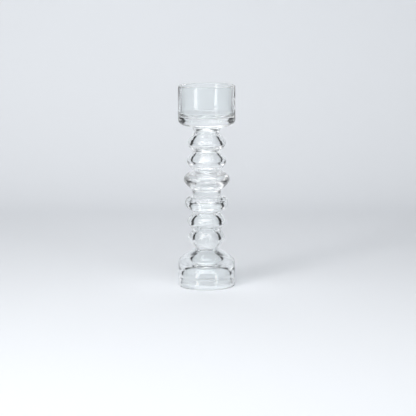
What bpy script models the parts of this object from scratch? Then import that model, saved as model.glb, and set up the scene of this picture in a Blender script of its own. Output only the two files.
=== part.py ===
"""Tall hollow-stemmed glass candlestick for one pillar candle.

Metres, +Z up.  The origin is on the axis, at the height of the foot's ground rim.
Four walls of revolution describe the glass: the outer wall from the foot to the cup's rim, the
inside of the cup, and the two long bubbles in the stem.  The lower bubble is open through the foot,
the upper one is closed, and the waist between them is solid.  The walls are cut at the weld seams,
which lie at the stem's narrow places, and each stretch between two seams is a body of its own.
"""
import math
from collections import namedtuple

import bmesh
import bpy
from mathutils import Vector
from mathutils.geometry import interpolate_bezier

MM = 0.001

# Fineness of the turned bodies, and the gap that stands for a weld.
SEGMENTS = 40
CURVE_POINTS = 5
CORNER_POINTS = 4
WELD_GAP = 0.3 * MM

# The foot: an open cylinder under a sloping shoulder, hollowed out like a trumpet's bell.
FOOT_RADIUS = 46.0 * MM
FOOT_WALL = 6.0 * MM
FOOT_EDGE = 1.0 * MM
SHOULDER_HEIGHT = 37.0 * MM
SHOULDER_REACH = 12.0 * MM
CORNER_RADIUS = 38.0 * MM
CORNER_HEIGHT = 16.0 * MM
LEDGE_RADIUS = 27.5 * MM
LEDGE_HEIGHT = 35.5 * MM

# The candle cup: as wide as the foot, with a heavy floor and a rounded heel.
CUP_RADIUS = 46.0 * MM
CUP_WALL = 4.6 * MM
CUP_RIM_HEIGHT = 326.0 * MM
CUP_FLOOR_HEIGHT = 275.0 * MM
CUP_FLOOR_ROUNDING = 9.0 * MM
HEEL_RADIUS = 36.0 * MM
HEEL_HEIGHT = 262.4 * MM
HEEL_ROUNDING = 10.0 * MM

# The ends of the two bubbles, and the solid waist that parts them.
LOWER_DOME_HEIGHT = 138.5 * MM
UPPER_FLOOR_HEIGHT = 164.5 * MM
UPPER_DOME_HEIGHT = 266.0 * MM
WAIST_RADIUS = 23.0 * MM
WAIST_BASE_HEIGHT = 145.5 * MM
BOWL_EDGE_RADIUS = 30.0 * MM
BOWL_EDGE_HEIGHT = 178.0 * MM
BOWL_CEILING_HEIGHT = 182.5 * MM

# A station is a neck or a belly of a wall, where the wall runs upright.  The reaches say how far
# its curve keeps upright below it and above it.
Station = namedtuple("Station", "height radius reach_below reach_above")


def station(height, radius, reach_below, reach_above):
    return Station(height * MM, radius * MM, reach_below * MM, reach_above * MM)


OUTER_BELOW_WAIST = [
    station(60.0, 18.5, 3.0, 5.0),
    station(79.0, 29.3, 8.0, 6.5),
    station(91.5, 23.0, 3.5, 3.0),
    station(106.0, 30.8, 7.5, 6.5),
    station(121.0, 22.7, 5.0, 3.0),
    station(136.0, 34.6, 10.0, 8.0),
]
OUTER_ABOVE_WAIST = [
    station(155.5, 23.0, 0.0, 4.0),
    station(174.5, 37.2, 9.0, 9.0),
    station(189.0, 23.0, 2.0, 3.0),
    station(204.5, 31.4, 8.0, 6.5),
    station(219.5, 21.5, 4.0, 3.0),
    station(233.5, 30.6, 7.5, 7.0),
    station(251.0, 20.5, 5.0, 7.0),
]
LOWER_BUBBLE = [
    station(60.0, 13.2, 14.0, 3.0),
    station(77.5, 20.4, 3.0, 5.0),
    station(91.5, 14.0, 4.0, 4.0),
    station(102.5, 22.0, 1.5, 5.0),
    station(119.0, 12.3, 3.0, 3.0),
    station(129.0, 25.7, 3.5, 6.5),
]
UPPER_BUBBLE = [
    station(184.5, 15.3, 1.0, 6.0),
    station(203.5, 28.6, 6.0, 3.0),
    station(217.6, 15.6, 2.5, 1.2),
    station(222.0, 16.8, 1.2, 1.2),
    station(226.5, 14.8, 1.5, 1.5),
    station(232.0, 23.2, 2.5, 3.5),
    station(245.0, 15.6, 4.0, 10.0),
]

# The sections from the foot upwards: name, height of the seam on top, tint of the glass.
Section = namedtuple("Section", "name top tint")
SECTIONS = [
    Section("foot", 61.0 * MM, (0.90, 0.97, 0.96)),
    Section("small_knop", 91.0 * MM, (0.90, 0.97, 0.96)),
    Section("lower_knop", 120.5 * MM, (0.90, 0.97, 0.96)),
    Section("disc_knop", 152.0 * MM, (0.88, 0.96, 0.95)),
    Section("waist_merese", 158.0 * MM, (0.86, 0.95, 0.94)),
    Section("bowl_knop", 189.0 * MM, (0.88, 0.96, 0.95)),
    Section("middle_knop", 220.0 * MM, (0.90, 0.97, 0.96)),
    Section("top_knop", 251.0 * MM, (0.90, 0.97, 0.96)),
    Section("cup_collar", 260.0 * MM, (0.90, 0.97, 0.96)),
    Section("candle_cup", CUP_RIM_HEIGHT, (0.91, 0.97, 0.96)),
]


def remove_scene_objects():
    for old in list(bpy.data.objects):
        bpy.data.objects.remove(old, do_unlink=True)


def clear_glass(name, tint):
    """A material for one section: clear glass with a faint sea-green tint."""
    material = bpy.data.materials.new(name + "_glass")
    material.use_nodes = True
    shader = material.node_tree.nodes["Principled BSDF"]
    shader.inputs["Base Color"].default_value = (*tint, 1.0)
    shader.inputs["Roughness"].default_value = 0.02
    shader.inputs["Metallic"].default_value = 0.0
    shader.inputs["IOR"].default_value = 1.5
    shader.inputs["Transmission Weight"].default_value = 1.0
    material.diffuse_color = (*tint, 0.5)
    return material


def bezier(start, start_handle, end_handle, end, count=CURVE_POINTS):
    """Points (radius, height) along one Bezier curve, both ends included."""
    corners = [Vector((r, h, 0.0)) for r, h in (start, start_handle, end_handle, end)]
    return [(p.x, p.y) for p in interpolate_bezier(*corners, count)]


def corner(centre, radius, start_degrees, end_degrees):
    """Part of a circle; 0 degrees points away from the axis and 90 points up."""
    points = []
    for step in range(CORNER_POINTS + 1):
        angle = math.radians(start_degrees + (end_degrees - start_degrees) * step / CORNER_POINTS)
        points.append((centre[0] + radius * math.cos(angle), centre[1] + radius * math.sin(angle)))
    return points


def swelling(stations):
    """A wall in and out through its necks and bellies."""
    points = []
    for low, high in zip(stations, stations[1:]):
        points += bezier(
            (low.radius, low.height), (low.radius, low.height + low.reach_above),
            (high.radius, high.height - high.reach_below), (high.radius, high.height),
        )
    return points


def joined(*curves):
    """Curves end to end, without the points that repeat where they meet."""
    outline = []
    for curve in curves:
        for point in curve:
            if not outline or math.dist(point, outline[-1]) > 1e-6:
                outline.append(point)
    return outline


def make_outer_wall():
    """From the foot's rim up to the top of the cup's rounded heel."""
    neck, disc, collar = OUTER_BELOW_WAIST[0], OUTER_BELOW_WAIST[-1], OUTER_ABOVE_WAIST[-1]
    return joined(
        corner((FOOT_RADIUS - FOOT_EDGE, FOOT_EDGE), FOOT_EDGE, 270, 360),
        bezier(
            (FOOT_RADIUS, SHOULDER_HEIGHT), (FOOT_RADIUS, SHOULDER_HEIGHT + SHOULDER_REACH),
            (neck.radius, neck.height - neck.reach_below), (neck.radius, neck.height),
        ),
        swelling(OUTER_BELOW_WAIST),
        bezier(
            (disc.radius, disc.height), (disc.radius, disc.height + disc.reach_above),
            (WAIST_RADIUS + 7.0 * MM, WAIST_BASE_HEIGHT - 0.1 * MM), (WAIST_RADIUS, WAIST_BASE_HEIGHT),
        ),
        swelling(OUTER_ABOVE_WAIST),
        bezier(
            (collar.radius, collar.height), (collar.radius, collar.height + collar.reach_above),
            (HEEL_RADIUS - 8.0 * MM, HEEL_HEIGHT - 0.6 * MM), (HEEL_RADIUS, HEEL_HEIGHT),
        ),
        corner((HEEL_RADIUS, HEEL_HEIGHT + HEEL_ROUNDING), HEEL_ROUNDING, 270, 360),
    )


def make_cup_inside():
    """From the cup's outer side over the round rim and down to the middle of its flat floor."""
    lip = CUP_WALL / 2.0
    inside = CUP_RADIUS - CUP_WALL
    floor_corner = (inside - CUP_FLOOR_ROUNDING, CUP_FLOOR_HEIGHT + CUP_FLOOR_ROUNDING)
    return joined(
        corner((CUP_RADIUS - lip, CUP_RIM_HEIGHT - lip), lip, 0, 180),
        corner(floor_corner, CUP_FLOOR_ROUNDING, 0, -90),
        [(0.0, CUP_FLOOR_HEIGHT)],
    )


def make_lower_bubble():
    """The hollow that is open below: up the foot's inside, through the bell and two knops to a dome."""
    inside = FOOT_RADIUS - FOOT_WALL
    neck, disc = LOWER_BUBBLE[0], LOWER_BUBBLE[-1]
    skirt_corner, ledge = (CORNER_RADIUS, CORNER_HEIGHT), (LEDGE_RADIUS, LEDGE_HEIGHT)
    return joined(
        corner((inside + FOOT_EDGE, FOOT_EDGE), FOOT_EDGE, 270, 180),
        bezier(
            (inside, FOOT_EDGE), (inside, CORNER_HEIGHT - 4.0 * MM),
            (CORNER_RADIUS, CORNER_HEIGHT - 6.0 * MM), skirt_corner,
        ),
        bezier(
            skirt_corner, (CORNER_RADIUS, LEDGE_HEIGHT - 7.5 * MM),
            (CORNER_RADIUS - 4.0 * MM, LEDGE_HEIGHT - 2.5 * MM), ledge,
        ),
        bezier(
            ledge, (LEDGE_RADIUS - 8.0 * MM, LEDGE_HEIGHT + 3.0 * MM),
            (neck.radius, neck.height - neck.reach_below), (neck.radius, neck.height),
        ),
        swelling(LOWER_BUBBLE),
        bezier(
            (disc.radius, disc.height), (disc.radius, disc.height + disc.reach_above),
            (24.6 * MM, LOWER_DOME_HEIGHT - 0.5 * MM), (20.0 * MM, LOWER_DOME_HEIGHT - 0.4 * MM),
        ),
        [(0.0, LOWER_DOME_HEIGHT)],
    )


def make_upper_bubble():
    """The closed hollow: from the bowl's floor through the upper knops to a dome under the cup."""
    neck, top = UPPER_BUBBLE[0], UPPER_BUBBLE[-1]
    bowl_edge, ceiling = (BOWL_EDGE_RADIUS, BOWL_EDGE_HEIGHT), (24.0 * MM, BOWL_CEILING_HEIGHT)
    return joined(
        bezier(
            (0.0, UPPER_FLOOR_HEIGHT), (20.0 * MM, UPPER_FLOOR_HEIGHT),
            (BOWL_EDGE_RADIUS, BOWL_EDGE_HEIGHT - 5.5 * MM), bowl_edge, 2 * CURVE_POINTS,
        ),
        bezier(
            bowl_edge, (BOWL_EDGE_RADIUS, BOWL_CEILING_HEIGHT - 0.4 * MM),
            (28.0 * MM, BOWL_CEILING_HEIGHT), ceiling,
        ),
        bezier(
            ceiling, (16.5 * MM, BOWL_CEILING_HEIGHT),
            (neck.radius, neck.height - neck.reach_below), (neck.radius, neck.height),
        ),
        swelling(UPPER_BUBBLE),
        bezier(
            (top.radius, top.height), (top.radius, top.height + top.reach_above),
            (9.0 * MM, UPPER_DOME_HEIGHT), (0.0, UPPER_DOME_HEIGHT),
        ),
    )


def point_at(wall, height):
    """Where an upward wall crosses a height."""
    for (r0, h0), (r1, h1) in zip(wall, wall[1:]):
        if h0 <= height <= h1 and h1 > h0:
            return (r0 + (r1 - r0) * (height - h0) / (h1 - h0), height)
    return wall[-1]


def between(wall, low, high):
    """The stretch of an upward wall from one height to another, or nothing if it isn't there."""
    bottom, top = wall[0][1], wall[-1][1]
    if top <= low or bottom >= high:
        return []
    margin = 0.2 * MM
    first = [point_at(wall, low)] if low > bottom else []
    last = [point_at(wall, high)] if high < top else []
    from_height = low + margin if first else bottom
    to_height = high - margin if last else top
    return first + [p for p in wall if from_height <= p[1] <= to_height] + last


def on_axis(point):
    return point[0] < 1e-6


def section_outline(low, high, outside, inside):
    """Outside upwards and inside downwards; an end with no hollow is closed by a flat face."""
    bottom = [(0.0, low)]
    top = [] if on_axis(outside[-1]) else [(0.0, high)]
    if not inside:
        return bottom + outside + top
    if on_axis(inside[-1]):
        return bottom + outside + inside
    if on_axis(inside[0]):
        return inside + outside + top
    return outside + inside


def turned_body(name, outline, tint):
    """A closed body turned about Z.

    An outline that starts on the axis also ends on it.  Any other is a ring's section.
    """
    mesh_builder = bmesh.new()
    verts = [mesh_builder.verts.new((r, 0.0, h)) for r, h in outline]
    edges = [mesh_builder.edges.new(pair) for pair in zip(verts, verts[1:])]
    if not on_axis(outline[0]):
        edges.append(mesh_builder.edges.new((verts[-1], verts[0])))
    bmesh.ops.spin(
        mesh_builder, geom=verts + edges, cent=(0, 0, 0), axis=(0, 0, 1),
        angle=2.0 * math.pi, steps=SEGMENTS, use_merge=True,
    )
    bmesh.ops.remove_doubles(mesh_builder, verts=mesh_builder.verts, dist=1e-6)
    bmesh.ops.recalc_face_normals(mesh_builder, faces=mesh_builder.faces)
    mesh = bpy.data.meshes.new(name)
    mesh_builder.to_mesh(mesh)
    mesh_builder.free()
    mesh.shade_smooth()
    mesh.set_sharp_from_angle(angle=math.radians(40.0))
    body = bpy.data.objects.new(name, mesh)
    bpy.context.scene.collection.objects.link(body)
    mesh.materials.append(clear_glass(name, tint))
    return body


def build():
    remove_scene_objects()
    outer_wall = make_outer_wall()
    bubbles = [make_lower_bubble(), make_upper_bubble()]
    seam = 0.0
    for section in SECTIONS:
        low = seam + WELD_GAP / 2.0 if seam > 0.0 else 0.0
        high = section.top - WELD_GAP / 2.0
        outside = between(outer_wall, low, high)
        hollows = [stretch for stretch in (between(bubble, low, high) for bubble in bubbles) if stretch]
        inside = hollows[0][::-1] if hollows else []
        if section.name == "candle_cup":
            outside = joined(outside, make_cup_inside())
        turned_body(section.name, section_outline(low, high, outside, inside), section.tint)
        seam = section.top


build()
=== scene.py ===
"""Looks of the glass candlestick: ten turned sections of clear glass in place of the ten CAD solids.

The glass is described by four profiles in millimetres: the outer wall, the inside of the cup and the
two long bubbles in the stem.  They are cut at the CAD seams, so the walls run on smoothly from one
section to the next.
"""

import math
from collections import namedtuple

import bpy
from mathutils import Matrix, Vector
from mathutils.geometry import interpolate_bezier


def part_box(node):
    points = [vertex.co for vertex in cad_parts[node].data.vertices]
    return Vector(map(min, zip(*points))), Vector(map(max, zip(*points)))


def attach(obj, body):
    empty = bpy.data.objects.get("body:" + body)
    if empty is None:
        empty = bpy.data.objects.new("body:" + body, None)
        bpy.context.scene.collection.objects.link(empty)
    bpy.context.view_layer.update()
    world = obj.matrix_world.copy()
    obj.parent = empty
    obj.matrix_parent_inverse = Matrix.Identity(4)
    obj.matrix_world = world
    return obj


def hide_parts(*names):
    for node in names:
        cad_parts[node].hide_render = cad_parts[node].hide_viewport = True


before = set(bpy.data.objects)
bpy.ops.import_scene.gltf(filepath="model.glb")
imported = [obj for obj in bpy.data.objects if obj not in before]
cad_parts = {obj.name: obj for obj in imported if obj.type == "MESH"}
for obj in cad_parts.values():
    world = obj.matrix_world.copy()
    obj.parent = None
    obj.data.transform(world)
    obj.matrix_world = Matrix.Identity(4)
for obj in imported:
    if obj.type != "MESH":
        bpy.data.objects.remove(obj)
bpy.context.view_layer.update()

MM = 0.001
NODES = ["foot", "small_knop", "lower_knop", "disc_knop", "waist_merese",
         "bowl_knop", "middle_knop", "top_knop", "cup_collar", "candle_cup"]

# ---------------------------------------------------------------- profiles, in millimetres
FOOT_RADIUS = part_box("foot")[1][0] / MM
CUP_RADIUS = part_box("candle_cup")[1][0] / MM
RIM_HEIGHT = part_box("candle_cup")[1][2] / MM

FOOT_WALL, FOOT_EDGE = 6.0, 1.0
SHOULDER_HEIGHT, SHOULDER_REACH = 37.0, 12.0
WAIST_RADIUS, WAIST_BASE_HEIGHT = 23.0, 145.5
WAIST_BASE_STEP = (7.0, -0.1)

CUP_WALL = 4.6
HEEL_RADIUS, HEEL_HEIGHT, HEEL_ROUNDING = 36.0, 262.4, 10.0
HEEL_STEP = (-8.0, -0.6)
CUP_FLOOR_HEIGHT, CUP_FLOOR_ROUNDING = 275.0, 9.0

# The lower bubble's turns: in the skirt, under the flare and at the rim of its flat dome.
CORNER_RADIUS, CORNER_HEIGHT = 38.0, 16.0
SKIRT_REACH, CORNER_REACH = 4.0, 6.0
LEDGE_RADIUS, LEDGE_HEIGHT = 31.5, 34.0
LEDGE_REACH = 7.5
LEDGE_STEP_BELOW, LEDGE_STEP_ABOVE = (-4.0, -2.5), (-8.0, 3.0)
LOWER_DOME_HEIGHT = 138.5
LOWER_DOME_RADIUS, LOWER_DOME_DROP = 20.0, 0.4
LOWER_DOME_HANDLE, LOWER_DOME_HANDLE_DROP = 24.6, 0.5

# The upper bubble's turns: its floor, the bowl knop's edge and ceiling, and the dome.
UPPER_FLOOR_HEIGHT, UPPER_FLOOR_REACH = 164.5, 20.0
BOWL_RADIUS, BOWL_HEIGHT, BOWL_REACH = 32.0, 178.3, 5.5
CEILING_RADIUS, CEILING_HEIGHT, CEILING_DROP = 24.0, 182.5, 0.4
CEILING_HANDLE_OUT, CEILING_HANDLE_IN = 28.0, 16.5
UPPER_DOME_HEIGHT, UPPER_DOME_REACH = 268.5, 14.0

# Necks and bellies of a wall, with the reach of the curve below and above each.
Station = namedtuple("Station", "height radius below above")
OUTER_BELOW_WAIST = [
    Station(60.0, 18.5, 3.0, 5.0),
    Station(79.0, 29.3, 8.0, 6.5),
    Station(91.5, 23.0, 3.5, 3.0),
    Station(106.0, 30.8, 7.5, 6.5),
    Station(121.0, 22.7, 5.0, 3.0),
    Station(136.0, 34.6, 10.0, 8.0),
]
OUTER_ABOVE_WAIST = [
    Station(155.5, 23.0, 0.0, 4.0),
    Station(174.5, 37.2, 9.0, 9.0),
    Station(189.0, 23.0, 2.0, 3.0),
    Station(204.5, 31.4, 8.0, 6.5),
    Station(219.5, 21.5, 4.0, 3.0),
    Station(233.5, 30.6, 7.5, 7.0),
    Station(251.0, 20.5, 5.0, 7.0),
]
LOWER_BUBBLE = [
    Station(60.0, 13.2, 14.0, 3.0),
    Station(77.5, 20.4, 3.0, 5.0),
    Station(91.5, 14.0, 4.0, 4.0),
    Station(102.5, 22.0, 1.5, 5.0),
    Station(119.0, 12.3, 3.0, 3.0),
    Station(129.0, 25.7, 3.5, 6.5),
]
UPPER_BUBBLE = [
    Station(184.5, 15.3, 1.0, 6.0),
    Station(200.0, 27.0, 5.0, 2.0),
    Station(217.6, 15.6, 2.5, 1.2),
    Station(222.0, 16.8, 1.2, 1.2),
    Station(226.5, 14.8, 1.5, 1.5),
    Station(232.0, 23.2, 2.5, 3.5),
    Station(245.0, 15.6, 4.0, 15.0),
]

TURNS = 224
CURVE_POINTS, LONG_CURVE_POINTS = 15, 24
EDGE_STEPS, FLOOR_STEPS, ROUND_STEPS, SWEEP_STEPS = 6, 12, 16, 24
HALF_GAP = 0.01
END_STEP = 0.03
SAME_POINT = 1e-4
TINY = 1e-6


def bezier(start, start_handle, end_handle, end, count=CURVE_POINTS):
    """Points (radius, height) along one Bezier curve."""
    handles = [Vector((radius, height, 0.0)) for radius, height in (start, start_handle, end_handle, end)]
    return [(point.x, point.y) for point in interpolate_bezier(*handles, count)]


def arc(centre, radius, first_degrees, last_degrees, count):
    """Points along an arc of a circle."""
    points = []
    for i in range(count + 1):
        angle = math.radians(first_degrees + (last_degrees - first_degrees) * i / count)
        points.append((centre[0] + radius * math.cos(angle), centre[1] + radius * math.sin(angle)))
    return points


def moved(point, step):
    """A point (radius, height) moved by a step (outward, up)."""
    return (point[0] + step[0], point[1] + step[1])


def at(station):
    """The point (radius, height) of a neck or belly."""
    return (station.radius, station.height)


def under(station):
    """The handle below a neck or belly."""
    return (station.radius, station.height - station.below)


def over(station):
    """The handle above a neck or belly."""
    return (station.radius, station.height + station.above)


def swelling(stations):
    """A wall through its necks and bellies, upright at each of them."""
    points = []
    for lower, upper in zip(stations, stations[1:]):
        points += bezier(at(lower), over(lower), under(upper), at(upper))
    return points


def joined(*stretches):
    """Stretches one after the other, without their doubled end points."""
    points = []
    for point in (p for stretch in stretches for p in stretch):
        if not points or math.dist(point, points[-1]) > SAME_POINT:
            points.append(point)
    return points


def make_outer_wall():
    """From the foot's rim up to the top of the cup's outer side."""
    neck, disc = OUTER_BELOW_WAIST[0], OUTER_BELOW_WAIST[-1]
    collar = OUTER_ABOVE_WAIST[-1]
    shoulder = (FOOT_RADIUS, SHOULDER_HEIGHT)
    waist_base = (WAIST_RADIUS, WAIST_BASE_HEIGHT)
    heel = (HEEL_RADIUS, HEEL_HEIGHT)
    return joined(
        arc((FOOT_RADIUS - FOOT_EDGE, FOOT_EDGE), FOOT_EDGE, 270, 360, EDGE_STEPS),
        bezier(shoulder, moved(shoulder, (0.0, SHOULDER_REACH)), under(neck), at(neck), LONG_CURVE_POINTS),
        swelling(OUTER_BELOW_WAIST),
        bezier(at(disc), over(disc), moved(waist_base, WAIST_BASE_STEP), waist_base),
        swelling(OUTER_ABOVE_WAIST),
        bezier(at(collar), over(collar), moved(heel, HEEL_STEP), heel),
        arc((HEEL_RADIUS, HEEL_HEIGHT + HEEL_ROUNDING), HEEL_ROUNDING, 270, 360, ROUND_STEPS),
    )


def make_cup_inside():
    """From the top of the cup's outer side over the rim and down to the middle of its floor."""
    lip = CUP_WALL / 2.0
    inner = CUP_RADIUS - CUP_WALL
    floor_rounding_centre = (inner - CUP_FLOOR_ROUNDING, CUP_FLOOR_HEIGHT + CUP_FLOOR_ROUNDING)
    return joined(
        arc((CUP_RADIUS - lip, RIM_HEIGHT - lip), lip, 0, 180, ROUND_STEPS),
        arc(floor_rounding_centre, CUP_FLOOR_ROUNDING, 0, -90, FLOOR_STEPS),
        [(0.0, CUP_FLOOR_HEIGHT)],
    )


def make_lower_bubble():
    """The hollow that is open below: foot, small knop, lower knop and disc knop."""
    inner = FOOT_RADIUS - FOOT_WALL
    neck, disc = LOWER_BUBBLE[0], LOWER_BUBBLE[-1]
    corner, ledge = (CORNER_RADIUS, CORNER_HEIGHT), (LEDGE_RADIUS, LEDGE_HEIGHT)
    dome_rim = (LOWER_DOME_RADIUS, LOWER_DOME_HEIGHT - LOWER_DOME_DROP)
    dome_handle = (LOWER_DOME_HANDLE, LOWER_DOME_HEIGHT - LOWER_DOME_HANDLE_DROP)
    return joined(
        arc((inner + FOOT_EDGE, FOOT_EDGE), FOOT_EDGE, 270, 180, EDGE_STEPS),
        bezier((inner, FOOT_EDGE), (inner, CORNER_HEIGHT - SKIRT_REACH),
               moved(corner, (0.0, -CORNER_REACH)), corner),
        bezier(corner, (CORNER_RADIUS, LEDGE_HEIGHT - LEDGE_REACH),
               moved((CORNER_RADIUS, LEDGE_HEIGHT), LEDGE_STEP_BELOW), ledge),
        bezier(ledge, moved(ledge, LEDGE_STEP_ABOVE), under(neck), at(neck)),
        swelling(LOWER_BUBBLE),
        bezier(at(disc), over(disc), dome_handle, dome_rim),
        [(0.0, LOWER_DOME_HEIGHT)],
    )


def make_upper_bubble():
    """The closed hollow in the bowl knop, middle knop, top knop and collar."""
    neck, top = UPPER_BUBBLE[0], UPPER_BUBBLE[-1]
    edge, ceiling = (BOWL_RADIUS, BOWL_HEIGHT), (CEILING_RADIUS, CEILING_HEIGHT)
    return joined(
        bezier((0.0, UPPER_FLOOR_HEIGHT), (UPPER_FLOOR_REACH, UPPER_FLOOR_HEIGHT),
               moved(edge, (0.0, -BOWL_REACH)), edge, LONG_CURVE_POINTS),
        bezier(edge, (BOWL_RADIUS, CEILING_HEIGHT - CEILING_DROP),
               (CEILING_HANDLE_OUT, CEILING_HEIGHT), ceiling),
        bezier(ceiling, (CEILING_HANDLE_IN, CEILING_HEIGHT), under(neck), at(neck)),
        swelling(UPPER_BUBBLE),
        bezier(at(top), over(top), (UPPER_DOME_REACH, UPPER_DOME_HEIGHT), (0.0, UPPER_DOME_HEIGHT)),
    )


def point_at(wall, height):
    """Where an upward wall crosses a height."""
    for (r0, z0), (r1, z1) in zip(wall, wall[1:]):
        if z0 <= height <= z1 and z1 > z0:
            return (r0 + (r1 - r0) * (height - z0) / (z1 - z0), height)
    return wall[-1]


def stretch(wall, low, high):
    """The part of an upward wall between two heights; a short step at a cut keeps its slope."""
    bottom, top = wall[0][1], wall[-1][1]
    if top <= low or bottom >= high:
        return []
    first = [point_at(wall, low), point_at(wall, low + END_STEP)] if low > bottom else []
    last = [point_at(wall, high - END_STEP), point_at(wall, high)] if high < top else []
    from_height = low + 2 * END_STEP if first else bottom
    to_height = high - 2 * END_STEP if last else top
    return first + [p for p in wall if from_height <= p[1] <= to_height] + last


def outline(low, high, outside, inside):
    """A section's outline: outside runs up, inside runs down, and where one is missing the glass is solid."""
    bottom = [] if outside[0][0] == 0.0 else [(0.0, low)]
    top = [] if outside[-1][0] == 0.0 else [(0.0, high)]
    solid_top = not inside or inside[0][0] == 0.0
    solid_bottom = not inside or inside[-1][0] == 0.0
    if solid_bottom:
        return bottom + outside + (top if solid_top else inside)
    if solid_top:
        return inside + outside + top
    return outside + inside


def seam_heights():
    """Heights in millimetres where the sections meet, with the table and the rim at the ends."""
    seams = [0.0]
    for below, above in zip(NODES, NODES[1:]):
        seams.append((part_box(below)[1][2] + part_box(above)[0][2]) / 2 / MM)
    return seams + [RIM_HEIGHT]


OUTER_WALL = make_outer_wall()
CUP_INSIDE = make_cup_inside()
BUBBLES = [make_lower_bubble(), make_upper_bubble()]
INNER_WALLS = BUBBLES[0] + BUBBLES[1] + CUP_INSIDE
SEAMS = seam_heights()

# ---------------------------------------------------------------- meshes
GLASS, WELD, GROUND = 0, 1, 2
SHARP_ANGLE = 35

# Hand-made unevenness: an oval swell and a weaker three-part one, which both slant up the glass and
# fade towards the axis.
OUTER_UNEVENNESS, INNER_UNEVENNESS, INNER_SHIFT = 0.10, 0.16, 1.7
OVAL_SLANT, THREE_PART_SLANT, THREE_PART_START, THREE_PART_SHARE = 0.031, 0.047, 2.1, 0.6
FADE_RADIUS = 12.0


def wobble(radius, height, angle, is_inner):
    """Unevenness of hand-worked glass in millimetres."""
    shift = INNER_SHIFT if is_inner else 0.0
    size = INNER_UNEVENNESS if is_inner else OUTER_UNEVENNESS
    oval = math.sin(2 * angle + OVAL_SLANT * height + shift)
    three_part = math.sin(3 * angle - THREE_PART_SLANT * height + THREE_PART_START + shift)
    return size * (oval + THREE_PART_SHARE * three_part) * min(1.0, radius / FADE_RADIUS)


def slot_between(start, end, low, high):
    """Which finish a stretch of the outline has."""
    heights = (start[1], end[1])
    if heights in ((low, low), (high, high)) and (low > 0.0 or heights == (high, high)):
        return WELD
    return GROUND if max(heights) <= FOOT_EDGE + TINY else GLASS


def turned(name, points, low, high, inner_points):
    """A closed mesh turned round the Z axis from an outline in millimetres."""
    rows, verts, thicknesses = [], [], []
    for point in points:
        radius, height = point
        is_inner = point in inner_points
        others = OUTER_WALL if is_inner else INNER_WALLS
        thickness = min(math.dist(point, other) for other in others)
        if radius < TINY:
            rows.append([len(verts)] * TURNS)
            verts.append((0.0, 0.0, height * MM))
            thicknesses.append(thickness)
            continue
        row = []
        for turn in range(TURNS):
            angle = 2 * math.pi * turn / TURNS
            uneven = (radius + wobble(radius, height, angle, is_inner)) * MM
            row.append(len(verts))
            verts.append((uneven * math.cos(angle), uneven * math.sin(angle), height * MM))
            thicknesses.append(thickness)
        rows.append(row)
    last_row = len(points) - 1 if points[0][0] < TINY else len(points)
    faces, slots = [], []
    for i in range(last_row):
        here, there = rows[i], rows[(i + 1) % len(rows)]
        slot = slot_between(points[i], points[(i + 1) % len(points)], low, high)
        for turn in range(TURNS):
            following = (turn + 1) % TURNS
            ring = [here[turn], here[following], there[following], there[turn]]
            faces.append(list(dict.fromkeys(ring)))
            slots.append(slot)
    mesh = bpy.data.meshes.new(name)
    mesh.from_pydata(verts, [], faces)
    mesh.polygons.foreach_set("material_index", slots)
    mesh.attributes.new("thickness", "FLOAT", "POINT").data.foreach_set("value", thicknesses)
    mesh.shade_smooth()
    mesh.set_sharp_from_angle(angle=math.radians(SHARP_ANGLE))
    obj = bpy.data.objects.new(name, mesh)
    bpy.context.scene.collection.objects.link(obj)
    return obj


# ---------------------------------------------------------------- glass
THIN_GLASS, THICK_GLASS = (0.999, 1.0, 1.0), (0.972, 0.992, 0.993)
THIN_WALL, THICK_WALL, THICK_SHARE = 3.0, 12.0, 0.9
STREAK_SCALE, STREAK_DETAIL, STREAK_SHARE = 45.0, 3.0, 0.25
RING_PITCH, RING_DISTORTION, RING_DETAIL, RING_DETAIL_SCALE = 3.4, 3.0, 2.0, 0.6
WAVE_SCALE, WAVE_DETAIL = 70.0, 1.0
SMEAR_SCALE, SMEAR_DETAIL, SMEAR_FROM, SMEAR_TO = 28.0, 5.0, 0.45, 0.75
GLASS_IOR, UNBENT_IOR = 1.5, 1.0


def new_node(owner, kind, inputs=(), **settings):
    """Adds a node to a material or world; inputs are (socket, value), and a value may be an output."""
    node = owner.node_tree.nodes.new(kind)
    for key, value in settings.items():
        setattr(node, key, value)
    for socket, value in inputs:
        if isinstance(value, bpy.types.NodeSocket):
            owner.node_tree.links.new(value, node.inputs[socket])
        else:
            node.inputs[socket].default_value = value
    return node


def principled_material(name, values):
    """A new material, and its Principled shader with the given values on its sockets."""
    material = bpy.data.materials.new(name)
    material.use_nodes = True
    shader = material.node_tree.nodes["Principled BSDF"]
    for socket, value in values.items():
        shader.inputs[socket].default_value = value
    return material, shader


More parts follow.
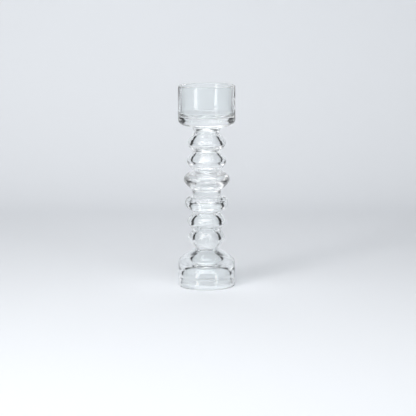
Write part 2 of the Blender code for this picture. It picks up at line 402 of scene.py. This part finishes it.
def glass_material(name, ring_depth, wave_depth, smear, grain_roughness=0.0):
    """Clear glass: bluish green where it is thick, tooling rings, slow waves and a faint smear.

    Depths are in millimetres.  Ground glass has a grain of its own in place of the polish.
    """
    material, shader = principled_material(name, {"IOR": GLASS_IOR, "Transmission Weight": 1.0})
    place = new_node(material, "ShaderNodeTexCoord").outputs["Object"]

    thickness = new_node(material, "ShaderNodeAttribute", attribute_name="thickness").outputs["Fac"]
    streaks = new_node(material, "ShaderNodeTexNoise", [
        ("Vector", place), ("Scale", STREAK_SCALE), ("Detail", STREAK_DETAIL)])
    share = new_node(material, "ShaderNodeMapRange", [
        ("Value", thickness), ("From Min", THIN_WALL), ("From Max", THICK_WALL), ("To Max", THICK_SHARE)])
    cloudy = new_node(material, "ShaderNodeMath", [
        (0, streaks.outputs["Fac"]), (1, STREAK_SHARE), (2, share.outputs["Result"]),
    ], operation="MULTIPLY_ADD")
    tint = new_node(material, "ShaderNodeValToRGB", [("Fac", cloudy.outputs["Value"])])
    tint.color_ramp.elements[0].color = (*THIN_GLASS, 1)
    tint.color_ramp.elements[1].color = (*THICK_GLASS, 1)

    # A wave texture repeats every pi / 10 units at scale 1.
    rings = new_node(material, "ShaderNodeTexWave", [
        ("Vector", place), ("Scale", math.pi / 10 / (RING_PITCH * MM)), ("Distortion", RING_DISTORTION),
        ("Detail", RING_DETAIL), ("Detail Scale", RING_DETAIL_SCALE)], bands_direction="Z")
    waves = new_node(material, "ShaderNodeTexNoise", [
        ("Vector", place), ("Scale", WAVE_SCALE), ("Detail", WAVE_DETAIL)])
    rings_bump = new_node(material, "ShaderNodeBump", [
        ("Distance", ring_depth * MM), ("Height", rings.outputs["Fac"])])
    waves_bump = new_node(material, "ShaderNodeBump", [
        ("Distance", wave_depth * MM), ("Height", waves.outputs["Fac"]),
        ("Normal", rings_bump.outputs["Normal"])])

    smears = new_node(material, "ShaderNodeTexNoise", [
        ("Vector", place), ("Scale", SMEAR_SCALE), ("Detail", SMEAR_DETAIL)])
    polish = new_node(material, "ShaderNodeMapRange", [
        ("Value", smears.outputs["Fac"]), ("From Min", SMEAR_FROM), ("From Max", SMEAR_TO),
        ("To Min", grain_roughness), ("To Max", grain_roughness + smear)])

    links = material.node_tree.links
    links.new(tint.outputs["Color"], shader.inputs["Base Color"])
    links.new(waves_bump.outputs["Normal"], shader.inputs["Normal"])
    links.new(polish.outputs["Result"], shader.inputs["Roughness"])
    return material


cup_glass = glass_material("cup_glass", ring_depth=0.004, wave_depth=0.05, smear=0.03)
stem_glass = glass_material("stem_glass", ring_depth=0.060, wave_depth=0.07, smear=0.02)
foot_glass = glass_material("foot_glass", ring_depth=0.006, wave_depth=0.06, smear=0.03)
ground_glass = glass_material(
    "ground_rim", ring_depth=0.010, wave_depth=0.02, smear=0.15, grain_roughness=0.30)
# The face where two sections are one piece of glass: light passes it unbent.
weld_glass, _ = principled_material("welded_through", {
    "Base Color": (1, 1, 1, 1), "Roughness": 0.0, "IOR": UNBENT_IOR, "Transmission Weight": 1.0})

# The frame has plain materials with the same names, so a glass is never looked up by its name.
POLISHED = {"foot": foot_glass, "candle_cup": cup_glass}
ABOVE_RIM = 1.0


def make_section(index, node):
    """One section of the glass between its two seams, in place of its CAD node."""
    low = SEAMS[index] + (HALF_GAP if index else 0.0)
    high = SEAMS[index + 1] - HALF_GAP
    outside = stretch(OUTER_WALL, low, high)
    inside = next((part for part in (stretch(bubble, low, high) for bubble in BUBBLES) if part), [])[::-1]
    if node == "candle_cup":
        outside = joined(outside, CUP_INSIDE)
        high = RIM_HEIGHT + ABOVE_RIM
    points = outline(low, high, outside, inside)
    piece = turned("glass_" + node, points, low, high, set(inside) | set(CUP_INSIDE))
    for material in (POLISHED.get(node, stem_glass), weld_glass, ground_glass):
        piece.data.materials.append(material)
    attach(piece, "root")
    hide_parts(node)


for index, node in enumerate(NODES):
    make_section(index, node)

# ---------------------------------------------------------------- stage
HALF_WIDTH, FRONT, BEND_START, BEND_RADIUS, SWEEP_TOP = 0.86, 1.2, 0.65, 0.5, 2.4
PAPER_COLOUR, PAPER_ROUGHNESS, PAPER_SPECULAR = (0.80, 0.82, 0.85, 1), 0.9, 0.1

# (name, location, target, width, height, watts, colour)
LIGHTS = [
    ("key", (-1.53, -1.58, 1.05), (0, 0, 1.05), 0.55, 2.0, 20, (1.0, 0.99, 0.97)),
    ("fill", (1.41, -1.69, 0.95), (0, 0, 0.95), 0.5, 1.9, 5, (0.95, 0.98, 1.0)),
    ("table", (0.0, -0.9, 1.4), (0, -0.9, 0.0), 1.4, 1.0, 15, (0.98, 0.99, 1.0)),
    ("left", (-0.7, -0.6, 1.5), (0, 0, 0), 0.8, 0.8, 5.4, (1.0, 0.99, 0.98)),
    ("back", (0.0, 0.5, 2.3), (0, 0.5, 0.0), 1.6, 1.6, 3.5, (0.98, 0.99, 1.0)),
]

# The room is dark behind the paper's edges, and pale round the camera and below the table.
TOWARDS_BACK = (0.0, 1.0, 0.5)
BACK_DARK_FROM, BACK_PALE_FROM = 0.35, 0.10
BELOW_DARK_FROM, BELOW_PALE_FROM = -0.18, -0.26
ROOM_DARK, ROOM_PALE = (0.012, 0.012, 0.012, 1), (0.47, 0.48, 0.49, 1)


def make_sweep():
    """Pale paper that runs from the table up into the backdrop."""
    profile = [(-FRONT, 0.0), (-FRONT / 2, 0.0), (0.0, 0.0), (BEND_START / 2, 0.0)]
    profile += arc((BEND_START, BEND_RADIUS), BEND_RADIUS, 270, 360, SWEEP_STEPS)
    profile.append((BEND_START + BEND_RADIUS, SWEEP_TOP))
    verts = [(side, y, z) for y, z in profile for side in (-HALF_WIDTH, HALF_WIDTH)]
    faces = [(2 * i, 2 * i + 1, 2 * i + 3, 2 * i + 2) for i in range(len(profile) - 1)]
    mesh = bpy.data.meshes.new("sweep")
    mesh.from_pydata(verts, [], faces)
    mesh.shade_smooth()
    paper, _ = principled_material("sweep_paper", {
        "Base Color": PAPER_COLOUR, "Roughness": PAPER_ROUGHNESS, "Specular IOR Level": PAPER_SPECULAR})
    mesh.materials.append(paper)
    sweep = bpy.data.objects.new("sweep", mesh)
    bpy.context.scene.collection.objects.link(sweep)


def area_light(name, location, target, width, height, watts, colour):
    """A rectangular light that faces its target."""
    data = bpy.data.lights.new(name, "AREA")
    data.shape = "RECTANGLE"
    data.size, data.size_y = width, height
    data.energy = watts
    data.color = colour
    light = bpy.data.objects.new(name, data)
    light.location = location
    light.rotation_euler = (Vector(target) - Vector(location)).to_track_quat("-Z", "Y").to_euler()
    bpy.context.scene.collection.objects.link(light)


def make_room():
    """The world round the stage."""
    world = bpy.data.worlds.new("dark_studio")
    world.use_nodes = True
    towards = new_node(world, "ShaderNodeTexCoord").outputs["Generated"]
    behind = new_node(world, "ShaderNodeVectorMath", [
        (0, towards), (1, TOWARDS_BACK)], operation="DOT_PRODUCT")
    room = new_node(world, "ShaderNodeMapRange", [
        ("Value", behind.outputs["Value"]), ("From Min", BACK_DARK_FROM), ("From Max", BACK_PALE_FROM)])
    height = new_node(world, "ShaderNodeSeparateXYZ", [("Vector", towards)])
    below = new_node(world, "ShaderNodeMapRange", [
        ("Value", height.outputs["Z"]), ("From Min", BELOW_DARK_FROM), ("From Max", BELOW_PALE_FROM)])
    pale = new_node(world, "ShaderNodeMath", [
        (0, room.outputs["Result"]), (1, below.outputs["Result"])], operation="MAXIMUM")
    shade = new_node(world, "ShaderNodeValToRGB", [("Fac", pale.outputs["Value"])])
    shade.color_ramp.elements[0].color = ROOM_DARK
    shade.color_ramp.elements[1].color = ROOM_PALE
    world.node_tree.links.new(shade.outputs["Color"], world.node_tree.nodes["Background"].inputs["Color"])
    bpy.context.scene.world = world


make_sweep()
for light in LIGHTS:
    area_light(*light)
make_room()

# ---------------------------------------------------------------- camera
CAMERA_PITCH, CAMERA_DISTANCE = 10.4, 2.2
AIM = Vector((0.0022, 0.0, 0.1268))
SENSOR_WIDTH, LENS_LENGTH = 36.0, 117.346154


def make_camera():
    """A long lens that looks slightly down at the candlestick."""
    camera = bpy.data.objects.new("camera", bpy.data.cameras.new("camera"))
    bpy.context.scene.collection.objects.link(camera)
    pitch = math.radians(CAMERA_PITCH)
    camera.location = AIM + CAMERA_DISTANCE * Vector((0, -math.cos(pitch), math.sin(pitch)))
    camera.rotation_euler = (AIM - camera.location).to_track_quat("-Z", "Y").to_euler()
    camera.data.sensor_width = SENSOR_WIDTH
    camera.data.lens = LENS_LENGTH
    bpy.context.scene.camera = camera


make_camera()

# Light goes through many walls of glass, so paths are long, and nothing blurs or clamps it.
scene = bpy.context.scene
scene.view_settings.view_transform = "Standard"
scene.cycles.sample_clamp_indirect = 0.0
scene.cycles.blur_glossy = 0.0
scene.cycles.max_bounces = 32
scene.cycles.transmission_bounces = 28
scene.cycles.glossy_bounces = 20
scene.cycles.transparent_max_bounces = 24
